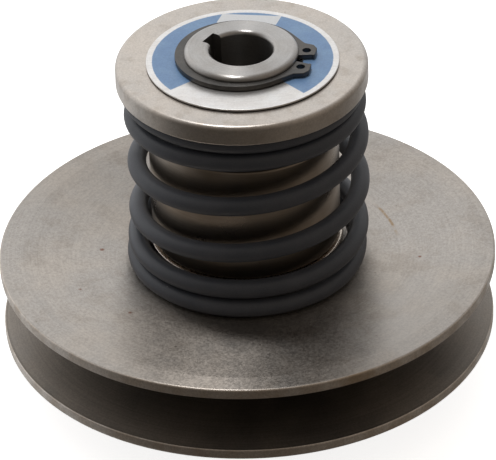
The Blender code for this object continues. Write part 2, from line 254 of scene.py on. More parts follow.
def prism(outline, bottom, top, bevel=0.0):
    """A solid with a flat outline in X and Y between two heights, its long edges bevelled."""
    shape = bmesh.new()
    face = shape.faces.new([shape.verts.new((x * MM, y * MM, bottom * MM)) for x, y in outline])
    grown = bmesh.ops.extrude_face_region(shape, geom=[face])
    lifted = [item for item in grown["geom"] if isinstance(item, bmesh.types.BMVert)]
    bmesh.ops.translate(shape, vec=(0, 0, (top - bottom) * MM), verts=lifted)
    bmesh.ops.recalc_face_normals(shape, faces=shape.faces)
    if bevel:
        ends = [edge for edge in shape.edges
                if abs(edge.verts[0].co.z - edge.verts[1].co.z) < 0.00001]
        bmesh.ops.bevel(shape, geom=ends, offset=bevel * MM, segments=3, profile=0.5, affect="EDGES")
    mesh = bpy.data.meshes.new("prism")
    shape.to_mesh(mesh)
    shape.free()
    return mesh


def outward(mesh, degrees, height):
    """Turns a mesh whose own Z runs outward, and whose X runs up, to an angle round the axis."""
    stand = Matrix(((0, 0, 1, 0), (0, 1, 0, 0), (-1, 0, 0, 0), (0, 0, 0, 1)))
    turn = Matrix.Rotation(math.radians(degrees), 4, "Z")
    mesh.transform(Matrix.Translation((0, 0, height * MM)) @ turn @ stand)
    return mesh


def around(radius, angle):
    """The point at that angle, in radians, on a circle."""
    return radius * math.cos(angle), radius * math.sin(angle)


def circle(radius, sides):
    return [around(radius, 2 * math.pi * step / sides) for step in range(sides)]


def stadium(length, width, sides=16):
    """An outline with round ends, long in X."""
    straight, radius = (length - width) / 2, width / 2
    right = []
    for step in range(sides + 1):
        angle = math.pi * step / sides
        right.append((straight + radius * math.sin(angle), -radius * math.cos(angle)))
    return right + [(-x, -y) for x, y in right]


def oblong(length, width):
    x, y = length / 2, width / 2
    return [(x, y), (-x, y), (-x, -y), (x, -y)]


# Materials

class Shading:
    """The nodes of a material or of the world."""

    def __init__(self, tree):
        self.tree = tree

    def add(self, kind, *values, **settings):
        node = self.tree.nodes.new("ShaderNode" + kind)
        for key, value in settings.items():
            setattr(node, key, value)
        for socket, value in zip(node.inputs, values):
            self.feed(socket, value)
        return node

    def feed(self, socket, value):
        if isinstance(value, bpy.types.NodeSocket):
            self.tree.links.new(value, socket)
        else:
            socket.default_value = value

    def math(self, operation, *values):
        return self.add("Math", *values, operation=operation).outputs[0]

    def plus(self, first, second):
        return self.math("ADD", first, second)

    def minus(self, first, second):
        return self.math("SUBTRACT", first, second)

    def times(self, first, second):
        return self.math("MULTIPLY", first, second)

    def ramp(self, value, start, end, first=0.0, last=1.0):
        """first below start and last above end, with a smooth change between them."""
        return self.add("MapRange", value, start, end, first, last,
                        interpolation_type="SMOOTHSTEP").outputs[0]

    def mix(self, share, first, second):
        """The first colour where the share is 0, and the second where it is 1."""
        node = self.add("Mix", data_type="RGBA", clamp_factor=True)
        for number, value in ((0, share), (6, first), (7, second)):
            self.feed(node.inputs[number], value)
        return node.outputs[2]

    def straight(self, value, start, end):
        """0 below start and 1 above end, with an even change between them."""
        return self.add("MapRange", value, start, end).outputs[0]


class Look(Shading):
    """A material made of nodes. Its textures are sized in millimetres on the piece itself."""

    def __init__(self, name, metallic, roughness, **fixed):
        self.material = bpy.data.materials.new(name)
        self.material.use_nodes = True
        super().__init__(self.material.node_tree)
        self.shader = self.tree.nodes["Principled BSDF"]
        self.shader.inputs["Metallic"].default_value = metallic
        self.shader.inputs["Roughness"].default_value = roughness
        for socket, value in fixed.items():
            self.shader.inputs[socket.replace("_", " ")].default_value = value
        metres = self.add("TexCoord").outputs["Object"]
        scaled = self.add("VectorMath", metres, operation="SCALE")
        scaled.inputs["Scale"].default_value = 1 / MM
        self.place = scaled.outputs[0]
        self.x, self.y, self.z = self.add("SeparateXYZ", self.place).outputs
        self.radius = self.length(self.x, self.y)

    def length(self, x, y):
        return self.math("SQRT", self.plus(self.times(x, x), self.times(y, y)))

    def stretched(self, *scale):
        """The place on the piece with each axis scaled."""
        return self.add("VectorMath", self.place, scale, operation="MULTIPLY").outputs[0]

    def tones(self, first, second):
        """The product of two factors, each (noise, lowest, highest)."""
        made = []
        for (value, lowest, highest), edge in ((first, 0.25), (second, 0.3)):
            made.append(self.ramp(value, edge, 1 - edge, lowest, highest))
        return self.times(*made)

    def shade(self, colour, factor):
        """The colour times a grey factor."""
        if isinstance(colour, tuple):
            colour = colour[:3]
        return self.add("VectorMath", colour, self.add("CombineXYZ", factor, factor, factor).outputs[0],
                        operation="MULTIPLY").outputs[0]

    def noise(self, size, detail=2.0, roughness=0.55, seed=0.0, where=None):
        """Noise from 0 to 1 whose largest blotches are about size across."""
        return self.add("TexNoise", where or self.place, seed, 1 / size, detail, roughness,
                        noise_dimensions="4D").outputs[0]

    def turning(self, length, pitch, detail=3.0, seed=0.0):
        """Noise drawn out round the axis: marks pitch wide, and about length long at TURN_R."""
        turn = self.math("DIVIDE", TURN_R / length, self.radius)
        across = self.math("DIVIDE", self.radius, pitch)
        spun = self.add("CombineXYZ", self.times(self.x, turn), self.times(self.y, turn), across)
        along = self.plus(self.math("DIVIDE", self.z, pitch), seed)
        return self.add("TexNoise", spun.outputs[0], along, 1.0, detail, 0.6,
                        noise_dimensions="4D").outputs[0]

    def specks(self, spacing, size, share, seed=0.0):
        """1 inside scattered specks, of which only that share of the cells has one."""
        seeded = (seed, seed * 0.7, seed * 1.3)
        moved = self.add("VectorMath", self.place, seeded, operation="ADD").outputs[0]
        cells = self.add("TexVoronoi", moved)
        cells.inputs["Scale"].default_value = 1 / spacing
        chance = self.add("SeparateColor", cells.outputs["Color"]).outputs[0]
        near = self.ramp(cells.outputs["Distance"], size / spacing, size / spacing * 0.5)
        return self.times(near, self.math("LESS_THAN", chance, share))

    def spot(self, x, y, z, size, blur=0.5):
        """1 inside a ragged spot of that radius."""
        away = self.add("VectorMath", self.place, (x, y, z), operation="DISTANCE").outputs["Value"]
        raggedness = self.times(self.minus(self.noise(size * 0.8), 0.5), size * 1.6)
        return self.ramp(self.plus(away, raggedness), size * (1 + blur), size * (1 - blur))

    def bump(self, *layers):
        """Layers are (height from 0 to 1, depth in millimetres), the coarsest first."""
        normal = None
        for height, depth in layers:
            node = self.add("Bump")
            node.inputs["Distance"].default_value = depth * MM
            self.feed(node.inputs["Height"], height)
            if normal:
                self.feed(node.inputs["Normal"], normal)
            normal = node.outputs[0]
        self.feed(self.shader.inputs["Normal"], normal)

    def turned_gloss(self, strength):
        """Highlights drawn out across the turning marks."""
        self.shader.inputs["Anisotropic"].default_value = strength
        self.shader.inputs["Anisotropic Rotation"].default_value = 0.25
        tangent = self.add("Tangent", direction_type="RADIAL", axis="Z").outputs[0]
        self.feed(self.shader.inputs["Tangent"], tangent)

    def paint(self, colour, roughness=None):
        self.feed(self.shader.inputs["Base Color"], colour)
        if roughness is not None:
            self.feed(self.shader.inputs["Roughness"], roughness)
        return self.material


def grey(value, warmth=0.0):
    """A linear grey whose red is raised and blue lowered by the warmth."""
    return (value * (1 + warmth), value, value * (1 - warmth), 1.0)


# (x, y, size) on the upper flange
RUST_SPOTS = ((-29.8, -26.3, 0.55), (-43.7, -23.7, 0.35), (-42.6, -16.1, 0.4),
              (61.1, 4.9, 0.4), (44.0, -5.8, 0.4))
RUBBED_R = 39.1


def rubbed_arc(look):
    """1 along a faint brown arc beside the spring, on the +X side."""
    off_track = look.math("ABSOLUTE", look.minus(look.radius, RUBBED_R))
    within = look.times(look.ramp(look.y, 4.0, 9.0), look.ramp(look.y, 21.5, 17.0))
    arc = look.times(look.ramp(off_track, 0.55, 0.1), within)
    arc = look.times(arc, look.math("GREATER_THAN", look.x, 0.0))
    return look.times(arc, look.ramp(look.noise(2.2, 2, 0.6, 6.0), 0.35, 0.6))


def flange_face_look():
    """Turned mild steel: grained, mottled, with a few rust spots and a rubbed arc."""
    look = Look("flange_face", 1.0, 0.4)
    cloud = look.noise(26, 3, 0.6, 1.0)
    blotch = look.noise(7, 3, 0.6, 2.0)
    grain = look.noise(0.55, 2, 0.7, 3.0)
    rings = look.turning(30, 0.35, 2, 4.0)
    colour = look.mix(look.ramp(cloud, 0.38, 0.62), grey(0.35, 0.075), grey(0.39, 0.105))
    colour = look.mix(look.ramp(blotch, 0.48, 0.70, 0, 0.45), colour, grey(0.26, 0.14))
    colour = look.shade(colour, look.tones((grain, 0.80, 1.14), (rings, 0.95, 1.04)))
    colour = look.mix(look.times(look.specks(7, 0.42, 0.35, 5.0), 0.6), colour, grey(0.13, 0.18))
    colour = look.mix(look.times(rubbed_arc(look), 0.75), colour, (0.24, 0.15, 0.06, 1))
    rust = look.spot(-37.3, 2.8, 31.7, 0.55)
    for x, y, size in RUST_SPOTS:
        rust = look.math("MAXIMUM", rust, look.spot(x, y, 32.0, size))
    colour = look.mix(look.times(rust, 0.85), colour, (0.15, 0.045, 0.02, 1))
    rough = look.plus(look.ramp(cloud, 0.3, 0.7, 0.34, 0.42), look.ramp(grain, 0.3, 0.7, -0.03, 0.05))
    look.bump((cloud, 0.02), (grain, 0.010), (rings, 0.006))
    look.turned_gloss(0.75)
    return look.paint(colour, rough)


def cone_face_look():
    """The belt faces: browner steel, dulled and marked by the belt."""
    look = Look("belt_face", 1.0, 0.45)
    cloud = look.noise(20, 3, 0.6, 11.0)
    grain = look.noise(0.5, 2, 0.7, 12.0)
    rings = look.turning(40, 0.4, 3, 13.0)
    colour = look.mix(look.ramp(cloud, 0.35, 0.65), grey(0.21, 0.10), grey(0.25, 0.13))
    colour = look.shade(colour, look.tones((grain, 0.86, 1.10), (rings, 0.90, 1.06)))
    colour = look.mix(look.times(look.specks(6, 0.35, 0.3, 14.0), 0.5), colour, grey(0.10, 0.25))
    look.bump((grain, 0.008), (rings, 0.008))
    look.turned_gloss(0.45)
    return look.paint(colour, look.ramp(cloud, 0.3, 0.7, 0.44, 0.54))


def rim_look():
    """The flanges' outer edges: brown-grey with an oily stain."""
    look = Look("flange_rim", 1.0, 0.42)
    blotch = look.noise(5, 3, 0.6, 21.0)
    grain = look.noise(0.5, 2, 0.7, 22.0)
    colour = look.mix(look.ramp(blotch, 0.35, 0.65), grey(0.54, 0.09), grey(0.43, 0.15))
    colour = look.shade(colour, look.ramp(grain, 0.25, 0.75, 0.80, 1.12))
    stain = look.spot(26.5, -57.7, 31.5, 4.5, 0.8)
    colour = look.mix(look.times(stain, 0.5), colour, (0.26, 0.16, 0.06, 1))
    look.bump((grain, 0.012), (look.turning(30, 0.3, 2, 23.0), 0.008))
    return look.paint(colour, look.ramp(blotch, 0.3, 0.7, 0.38, 0.5))


def boss_look():
    """The low boss at the collar's foot: turned bright."""
    look = Look("turned_boss", 1.0, 0.25)
    grain = look.noise(0.4, 2, 0.7, 35.0)
    marks = look.turning(20, 0.25, 3, 36.0)
    look.bump((grain, 0.004), (marks, 0.004))
    colour = look.shade(grey(0.82, 0.12), look.ramp(marks, 0.3, 0.7, 0.88, 1.05))
    return look.paint(colour, look.ramp(grain, 0.3, 0.7, 0.24, 0.34))


def collar_look():
    """Ground and oiled steel, darkened brown."""
    look = Look("collar_steel", 1.0, 0.22)
    cloud = look.noise(16, 3, 0.6, 31.0)
    marks = look.turning(60, 0.25, 3, 32.0)
    colour = look.mix(look.ramp(cloud, 0.35, 0.65), grey(0.32, 0.15), grey(0.25, 0.20))
    colour = look.shade(colour, look.ramp(marks, 0.3, 0.7, 0.92, 1.05))
    colour = look.mix(look.times(look.specks(5, 0.3, 0.3, 33.0), 0.5), colour, grey(0.10, 0.3))
    look.bump((cloud, 0.03), (marks, 0.004))
    look.turned_gloss(0.4)
    return look.paint(colour, look.ramp(cloud, 0.3, 0.7, 0.26, 0.36))


def spring_look():
    """Slate-grey coated wire, dusty in places."""
    look = Look("spring_coating", 0.0, 0.5, Specular_IOR_Level=0.55)
    cloud = look.noise(9, 3, 0.6, 41.0)
    grain = look.noise(0.35, 2, 0.7, 42.0)
    dark, pale = (0.054, 0.061, 0.077, 1), (0.070, 0.076, 0.092, 1)
    colour = look.mix(look.ramp(cloud, 0.35, 0.65), dark, pale)
    colour = look.shade(colour, look.ramp(grain, 0.25, 0.75, 0.88, 1.12))
    dust = look.specks(4.5, 0.28, 0.16, 43.0)
    colour = look.mix(look.times(dust, 0.45), colour, (0.30, 0.30, 0.29, 1))
    look.bump((look.noise(2.5, 2, 0.6, 44.0), 0.02), (grain, 0.012))
    return look.paint(colour, look.ramp(cloud, 0.3, 0.7, 0.46, 0.58))


def cap_look():
    """Satin steel, warm grey, with the tumbled grain and faint stains of a stamped part."""
    look = Look("cap_satin", 1.0, 0.4)
    cloud = look.noise(14, 3, 0.6, 51.0)
    blotch = look.noise(4, 3, 0.6, 52.0)
    grain = look.noise(0.45, 2, 0.7, 53.0)
    colour = look.mix(look.ramp(cloud, 0.35, 0.65), grey(0.45, 0.075), grey(0.48, 0.105))
    colour = look.mix(look.ramp(blotch, 0.50, 0.72, 0, 0.5), colour, grey(0.33, 0.15))
    colour = look.shade(colour, look.ramp(grain, 0.25, 0.75, 0.86, 1.08))
    colour = look.mix(look.times(look.specks(5, 0.3, 0.22, 54.0), 0.5), colour, grey(0.15, 0.2))
    look.bump((cloud, 0.02), (grain, 0.010))
    return look.paint(colour, look.ramp(blotch, 0.3, 0.7, 0.29, 0.39))


def hub_look():
    """Bright turned steel with fine facing marks."""
    look = Look("hub_steel", 1.0, 0.3)
    cloud = look.noise(8, 3, 0.6, 61.0)
    grain = look.noise(0.4, 2, 0.7, 62.0)
    rings = look.turning(20, 0.22, 3, 63.0)
    colour = look.mix(look.ramp(cloud, 0.35, 0.65), grey(0.39, 0.025), grey(0.36, 0.05))
    colour = look.shade(colour, look.tones((grain, 0.90, 1.06), (rings, 0.93, 1.05)))
    colour = look.mix(look.times(look.specks(3.2, 0.22, 0.25, 64.0), 0.6), colour, grey(0.12, 0.15))
    look.bump((cloud, 0.015), (grain, 0.006), (rings, 0.005))
    look.turned_gloss(0.78)
    return look.paint(colour, look.ramp(cloud, 0.3, 0.7, 0.28, 0.38))


PRINT_R = 22.55
BARE_FROM, BARE_TO = -142.45, -49.35  # degrees round from +X
BARE_EDGE = 0.35
PANEL_TILT = math.radians(-7.6)
PANEL_SLANT = 0.215
PANEL_UP, PANEL_ACROSS = 18.82, -0.25
PANEL_HALF_LENGTH, PANEL_HALF_HEIGHT = 7.525, 2.175


def printed_band(look):
    """1 on the plate's blue ring, whose edge is a little uneven, and 0 in its bare sector and outside it."""
    x = look.minus(look.x, PLATE_OFFSET[0])
    y = look.minus(look.y, PLATE_OFFSET[1])
    unevenness = look.times(look.minus(look.noise(0.7, 2, 0.6, 71.0), 0.5), 0.25)
    band = look.ramp(look.plus(look.length(x, y), unevenness), PRINT_R + 0.1, PRINT_R - 0.1)
    angle = look.math("ARCTAN2", y, x)
    begins = look.ramp(angle, math.radians(BARE_FROM - BARE_EDGE), math.radians(BARE_FROM + BARE_EDGE))
    ends = look.ramp(angle, math.radians(BARE_TO + BARE_EDGE), math.radians(BARE_TO - BARE_EDGE))
    return look.times(band, look.minus(1.0, look.times(begins, ends)))


def white_panel(look):
    """1 inside a slanted panel behind the ring."""
    cos, sin = math.cos(PANEL_TILT), math.sin(PANEL_TILT)
    up = look.minus(look.plus(look.times(look.x, -sin), look.times(look.y, cos)), PANEL_UP)
    across = look.plus(look.times(look.x, cos), look.times(look.y, sin))
    across = look.minus(look.plus(across, look.times(up, -PANEL_SLANT)), PANEL_ACROSS)
    inside = []
    for distance, half in ((across, PANEL_HALF_LENGTH), (up, PANEL_HALF_HEIGHT)):
        inside.append(look.ramp(look.math("ABSOLUTE", distance), half + 0.075, half - 0.075))
    return look.times(*inside)


def plate_look():
    """Thin printed metal plate: blue arcs at the sides, bare metal in front, a blank white panel behind."""
    look = Look("printed_plate", 0.0, 0.4)
    blue = printed_band(look)
    panel = white_panel(look)
    grain = look.noise(0.4, 2, 0.7, 72.0)
    blotch = look.noise(4, 3, 0.6, 73.0)
    brushed = look.noise(0.5, 3, 0.6, 74.0, look.stretched(0.12, 1.0, 1.0))
    mottled = look.ramp(blotch, 0.35, 0.65)
    silver = look.mix(mottled, grey(0.74, 0.01), grey(0.68, 0.03))
    silver = look.shade(silver, look.tones((grain, 0.92, 1.05), (brushed, 0.93, 1.04)))
    ink = look.mix(mottled, (0.15, 0.27, 0.48, 1), (0.18, 0.31, 0.51, 1))
    ink = look.shade(ink, look.ramp(grain, 0.25, 0.75, 0.90, 1.08))
    white = look.shade(grey(0.70, -0.03), look.ramp(grain, 0.25, 0.75, 0.95, 1.03))
    colour = look.mix(panel, look.mix(blue, silver, ink), white)
    printed = look.math("MAXIMUM", blue, panel)
    look.feed(look.shader.inputs["Metallic"], look.ramp(printed, 0.0, 1.0, 0.85, 0.0))
    look.bump((blotch, 0.02), (look.plus(grain, look.times(printed, 1.5)), 0.010))
    return look.paint(colour, look.ramp(printed, 0.0, 1.0, 0.36, 0.42))


def black_look(name, seed):
    """Black oxide with a little oil on it."""
    look = Look(name, 0.85, 0.4)
    cloud = look.noise(5, 3, 0.6, seed)
    grain = look.noise(0.3, 2, 0.7, seed + 1)
    colour = look.mix(look.ramp(cloud, 0.35, 0.65), grey(0.075, 0.04), grey(0.105, 0.06))
    colour = look.shade(colour, look.ramp(grain, 0.25, 0.75, 0.82, 1.15))
    look.bump((cloud, 0.01), (grain, 0.008))
    return look.paint(colour, look.ramp(cloud, 0.3, 0.7, 0.36, 0.48))


def key_look():
    """Drawn key steel, with marks along its length."""
    look = Look("key_steel_drawn", 1.0, 0.3)
    grain = look.noise(0.3, 2, 0.7, 81.0)
    drawn = look.noise(0.4, 3, 0.6, 82.0, look.stretched(1.0, 1.0, 0.08))
    colour = look.shade(grey(0.45, 0.01), look.tones((grain, 0.9, 1.06), (drawn, 0.9, 1.06)))
    look.bump((drawn, 0.006))
    return look.paint(colour, look.ramp(grain, 0.3, 0.7, 0.28, 0.38))


def bronze_look():
    """Sintered bronze: oily, with open pores."""
    look = Look("sintered_bronze", 1.0, 0.4)
    cloud = look.noise(5, 3, 0.6, 91.0)
    pores = look.specks(0.8, 0.16, 0.6, 92.0)
    colour = look.mix(look.ramp(cloud, 0.35, 0.65), (0.46, 0.29, 0.13, 1), (0.38, 0.22, 0.09, 1))
    colour = look.mix(look.times(pores, 0.7), colour, (0.10, 0.06, 0.03, 1))
    look.bump((look.minus(1.0, pores), 0.03))
    return look.paint(colour, look.ramp(cloud, 0.3, 0.7, 0.34, 0.48))


def felt_look():
    """Oiled felt: matted fibres."""
    look = Look("oiled_felt", 0.0, 0.95, Sheen_Weight=0.4)
    matted = look.noise(1.2, 4, 0.7, 95.0)
    fibre = look.noise(0.2, 2, 0.7, 96.0)
    colour = look.mix(look.ramp(matted, 0.35, 0.65), grey(0.16, 0.12), grey(0.24, 0.10))
    colour = look.shade(colour, look.ramp(fibre, 0.3, 0.7, 0.7, 1.2))
    look.bump((matted, 0.15), (fibre, 0.08))
    return look.paint(colour)


# Pieces

OUTER_SIDE, BELT_FACE, RIM, BOSS = range(4)  # the flanges' material numbers


def flange_materials(mesh, belt_side, boss_above=math.inf):
    """Gives each face of a flange its material; belt_side is 1 where the belt face looks up, or -1."""
    for face in mesh.polygons:
        centre = face.center / MM
        radius = math.hypot(centre.x, centre.y)
        if radius < BOSS_R + 0.1 and centre.z > boss_above:
            face.material_index = BOSS
        elif abs(face.normal.z) < 0.9 and radius > FIXED_FLANGE_R - 2 * RIM_EDGE:
            face.material_index = RIM
        elif face.normal.z * belt_side > 0.5 and radius > HUB_FACE_R - 12:
            face.material_index = BELT_FACE
        else:
            face.material_index = OUTER_SIDE


def drive_key_ways(bottom, top):
    """Cutters for the two ways in which the drive keys slide."""
    made = []
    for degrees in DRIVE_KEYS.values():
        mesh = prism(oblong(top - bottom, KEY_WIDTH + 2 * GAP), RUN_R - 3, DRIVE_KEY_TOP_R + GAP)
        made.append(outward(mesh, degrees, (bottom + top) / 2))
    return made


def screw_holes():
    made = []
    for degrees in SCREWS.values():
        mesh = prism(circle(SCREW_R + GAP, 48), *SCREW_HOLE)
        made.append(outward(mesh, degrees, SCREW_Z))
    return made


def flange_key_seat():
    mesh = prism(oblong(FLANGE_KEY_LENGTH + GAP, KEY_WIDTH + GAP),
                 SEAT_R - SEAT_DEPTH_GAP, FLANGE_KEY_TOP_R + SEAT_DEPTH_GAP)
    return outward(mesh, KEYWAY_ANGLE + 180, FLANGE_KEY_MIDDLE)


def make_sleeve():
    groove_low = low("retaining_ring") - RING_GROOVE_GAP
    groove_high = high("retaining_ring") + RING_GROOVE_GAP
    keyway = prism(oblong(SLEEVE_TOP + 10, KEY_WIDTH), 0, KEYWAY_TOP_R)
    cutters = [outward(keyway, KEYWAY_ANGLE, SLEEVE_TOP / 2), flange_key_seat(), *screw_holes()]
    for degrees in DRIVE_KEYS.values():
        seat = prism(stadium(DRIVE_KEY_LENGTH + GAP, KEY_WIDTH + GAP), SEAT_R - SEAT_DEPTH_GAP, SLEEVE_R + 5)
        cutters.append(outward(seat, degrees, DRIVE_KEY_MIDDLE))
    mesh = turned_mesh([
        (BORE_R, SLEEVE_TOP, 1.0), (SLEEVE_R, SLEEVE_TOP, 1.3), (SLEEVE_R, groove_high, 0.1),
        (RING_GROOVE_R, groove_high), (RING_GROOVE_R, groove_low), (SLEEVE_R, groove_low, 0.1),
        (SLEEVE_R, SHOULDER_TOP), (SHOULDER_R, SHOULDER_TOP, 0.3), (SHOULDER_R, 0, 0.5), (BORE_R, 0, 0.6),
    ], cutters=cutters)
    piece(mesh, "sleeve_side", "hub_sleeve", "turned_steel", hub_look())


def make_fixed_flange(looks):
    meeting, seat = high("fixed_flange"), FIXED_RIM_Z + DISH
    mesh = turned_mesh([
        (RUN_R, meeting), (HUB_FACE_R, meeting, 0.4), (FIXED_FLANGE_R - RIM_EDGE, FIXED_RIM_TOP, 0.3),
        (FIXED_FLANGE_R, FIXED_RIM_TOP, 0.5), (FIXED_FLANGE_R, FIXED_RIM_Z, 1.0),
        (BAND_R, FIXED_RIM_Z, 4.0), (SEAT_EDGE_R, seat, 4.0), (LOWER_BOSS_R, seat, 1.5),
        (LOWER_BOSS_R, 0, 0.8), (COUNTERBORE_R, 0, 0.2), (COUNTERBORE_R, COUNTERBORE_TOP),
        (RUN_R, COUNTERBORE_TOP),
    ], FINE, cutters=[flange_key_seat(), *screw_holes()])
    flange_materials(mesh, 1)
    piece(mesh, "sleeve_side", "fixed_flange", "flange_steel", *looks)


def make_movable_flange(looks):
    meeting, top, seat = low("movable_flange"), high("movable_flange"), MOVABLE_RIM_TOP - DISH
    mesh = turned_mesh([
        (SPIGOT_BORE_R, top, 0.3), (BOSS_R, top, 0.4), (BOSS_R, seat, 0.8), (SEAT_EDGE_R, seat, 6.0),
        (BAND_R, MOVABLE_RIM_TOP, 5.0), (FLANGE_R, MOVABLE_RIM_TOP, 0.6), (FLANGE_R, MOVABLE_RIM_Z, 0.5),
        (FLANGE_R - RIM_EDGE, MOVABLE_RIM_Z, 0.2), (HUB_FACE_R, meeting, 0.4), (SPIGOT_BORE_R, meeting),
    ], FINE)
    flange_materials(mesh, -1, seat)
    piece(mesh, "sliding_flange", "movable_flange", "flange_steel", *looks, boss_look())


def make_movable_hub():
    bottom, top = low("movable_hub"), high("movable_hub")
    foot = high("movable_flange") + GAP
    mesh = turned_mesh([
        (POCKET_R, top, 0.4), (COLLAR_R, top, 0.8), (COLLAR_R, foot, 0.5), (SPIGOT_R, foot),
        (SPIGOT_R, bottom), (POCKET_R, bottom), (POCKET_R, bottom + POCKET), (LAND_R, bottom + POCKET),
        (LAND_R, top - POCKET), (POCKET_R, top - POCKET),
    ], cutters=drive_key_ways(bottom - 5, top + 5))
    piece(mesh, "sliding_flange", "movable_hub", "polished_steel", collar_look())


def make_lining(node, slot, look, edge, keyed):
    """A ring between the collar and the sleeve; a keyed one has ways for the drive keys."""
    bottom, top = low(node), high(node)
    ways = drive_key_ways(bottom - 5, top + 5) if keyed else ()
    mesh = turned_mesh([
        (RUN_R, top, edge), (BUSHING_R, top, edge), (BUSHING_R, bottom, edge), (RUN_R, bottom, edge),
    ], 96, 3, ways)
    piece(mesh, "sliding_flange", node, slot, look)


def make_bushings_and_wipers():
    bronze, felt = bronze_look(), felt_look()
    for side in ("lower", "upper"):
        make_lining(side + "_bushing", "bronze", bronze, 0.5, keyed=True)
        make_lining(side + "_wiper", "felt", felt, 0.3, keyed=False)


def make_keys():
    drawn = key_look()
    for node, degrees in DRIVE_KEYS.items():
        outline = stadium(DRIVE_KEY_LENGTH, KEY_WIDTH)
        mesh = prism(outline, SEAT_R, DRIVE_KEY_TOP_R, KEY_EDGE)
        piece(outward(mesh, degrees, DRIVE_KEY_MIDDLE), "sleeve_side", node, "key_steel", drawn)
    outline = oblong(FLANGE_KEY_LENGTH, KEY_WIDTH)
    mesh = prism(outline, SEAT_R, FLANGE_KEY_TOP_R, KEY_EDGE)
    outward(mesh, KEYWAY_ANGLE + 180, FLANGE_KEY_MIDDLE)
    piece(mesh, "sleeve_side", "flange_key", "key_steel", drawn)


def close_pinhole(mesh):
    """Closes the thin hole that turning leaves along the axis of a solid piece."""
    shape = bmesh.new()
    shape.from_mesh(mesh)
    pinhole = [face for face in shape.faces
               if all(math.hypot(vert.co.x, vert.co.y) < 0.03 * MM for vert in face.verts)]
    bmesh.ops.delete(shape, geom=pinhole, context="FACES")
    bmesh.ops.holes_fill(shape, edges=shape.edges)
    bmesh.ops.recalc_face_normals(shape, faces=shape.faces)
    shape.to_mesh(mesh)
    shape.free()


def make_set_screws():
    """Hexagon sockets, a cup point and a thread cut as fine ridges."""
    oxide = black_look("screw_oxide", 85.0)
    tip, head, root_r = SCREW_TIP_R, SCREW_HEAD_R, SCREW_R - THREAD_DEPTH
    ridges = []
    for thread in range(THREADS):
        start = head - 0.6 - thread * THREAD_PITCH
        ridges += [(SCREW_R, start), (root_r, start - THREAD_PITCH / 2)]
    profile = [(0.02, head), (SCREW_R - 0.6, head), *ridges, (root_r, tip + 0.5),
               (1.7, tip), (1.2, tip), (0.02, tip + 0.6)]
    for node, degrees in SCREWS.items():
        mesh = turned_mesh(profile, 48)
        close_pinhole(mesh)
        socket = prism(circle(SOCKET_CORNER_R, 6), head - SOCKET_DEPTH, head + 2)
        mesh = outward(cut_mesh(mesh, [socket]), degrees, SCREW_Z)
        piece(mesh, "sleeve_side", node, "black_steel", oxide)


def make_cap():
    bottom, top, edge = low("spring_cap"), high("spring_cap"), reach("spring_cap")
    mesh = turned_mesh([
        (RUN_R, top, 0.3), (edge, top, 1.3), (edge, bottom, 0.5), (CAP_LIP_R, bottom, 0.15),
        (CAP_LIP_R, bottom + CAP_LIP), (RUN_R, bottom + CAP_LIP),
    ], FINE, 10)
    piece(mesh, "sleeve_side", "spring_cap", "cap_steel", cap_look())


def shift(mesh, x, y):
    """Moves a mesh sideways, in millimetres."""
    mesh.transform(Matrix.Translation((x * MM, y * MM, 0)))


def make_plate():
    bottom, top = low("cap_plate"), high("cap_plate")
    mesh = turned_mesh([
        (PLATE_BORE_R, top, 0.15), (PLATE_R, top, 0.2), (PLATE_R, bottom, 0.1), (PLATE_BORE_R, bottom, 0.1),
    ], FINE, 4)
    shift(mesh, *PLATE_OFFSET)
    piece(mesh, "sleeve_side", "cap_plate", "plate_paint", plate_look())


def ring_outline():
    """The ring with its gap towards +X: tapered arms, and a soft-cornered lug on each side."""
    steps, full = 96, 2 * math.pi
    outer, inner = [], []
    for step in range(steps + 1):
        angle = ARM_START + (full - 2 * ARM_START) * step / steps
        width = RING_NARROWEST + RING_WIDENING * (1 - math.cos(angle)) / 2
        outer.append(around(RING_SEAT_R + width, angle))
    gap_angle = math.asin(RING_HALF_GAP / RING_SEAT_R)
    for step in range(steps + 1):
        inner.append(around(RING_SEAT_R, full - gap_angle - (full - 2 * gap_angle) * step / steps))
    root_y = LUG[-1][1]
    soft = [point for point in filleted(LUG, 5) if RING_HALF_GAP - 0.01 <= point.y < root_y - 0.1]
    lug = [tuple(point) for point in soft[:-1]]
    mirrored = [(x, -y) for x, y in reversed(lug)]
    return lug + outer + mirrored + inner


def make_ring():
    bottom, top = low("retaining_ring"), high("retaining_ring")
    holes = []
    for degrees in LUG_HOLE_ANGLES:
        hole = prism(circle(LUG_HOLE_R, 32), bottom - 1, top + 1)
        shift(hole, *around(LUG_HOLE_REACH, math.radians(degrees)))
        holes.append(hole)
    mesh = cut_mesh(prism(ring_outline(), bottom, top, 0.14), holes)
    mesh.transform(Matrix.Rotation(math.radians(RING_ANGLE), 4, "Z"))
    shift(mesh, *RING_OFFSET)
    piece(mesh, "sleeve_side", "retaining_ring", "black_steel", black_look("ring_oxide", 87.0))


def eased(value):
    """0 to 1 with a soft start and end."""
    value = min(max(value, 0.0), 1.0)
    return value * value * (3 - 2 * value)


def coil_height(turns):
    """Height of the wire's centre: a closed coil, a step onto it, the open coils, and again at the top."""
    first_step = eased((turns - CLIMB_START) / CLIMB_TURNS)
    last_step = eased(1 - (LOW_TIP + HIGH_TIP - turns - CLIMB_START) / CLIMB_TURNS)
    opened = max(turns - OPEN_START, 0.0)
    rise = opened - OPEN_BLEND / 2 if opened > OPEN_BLEND else opened * opened / (2 * OPEN_BLEND)
    closing = min(max(turns - CLOSE_END + CLOSE_BLEND, 0.0), CLOSE_BLEND)
    beyond = max(turns - CLOSE_END, 0.0)
    rise -= closing * closing / (2 * CLOSE_BLEND) + beyond
    return COIL_LOW + COIL_LIFT * (first_step + last_step) + COIL_PITCH * rise


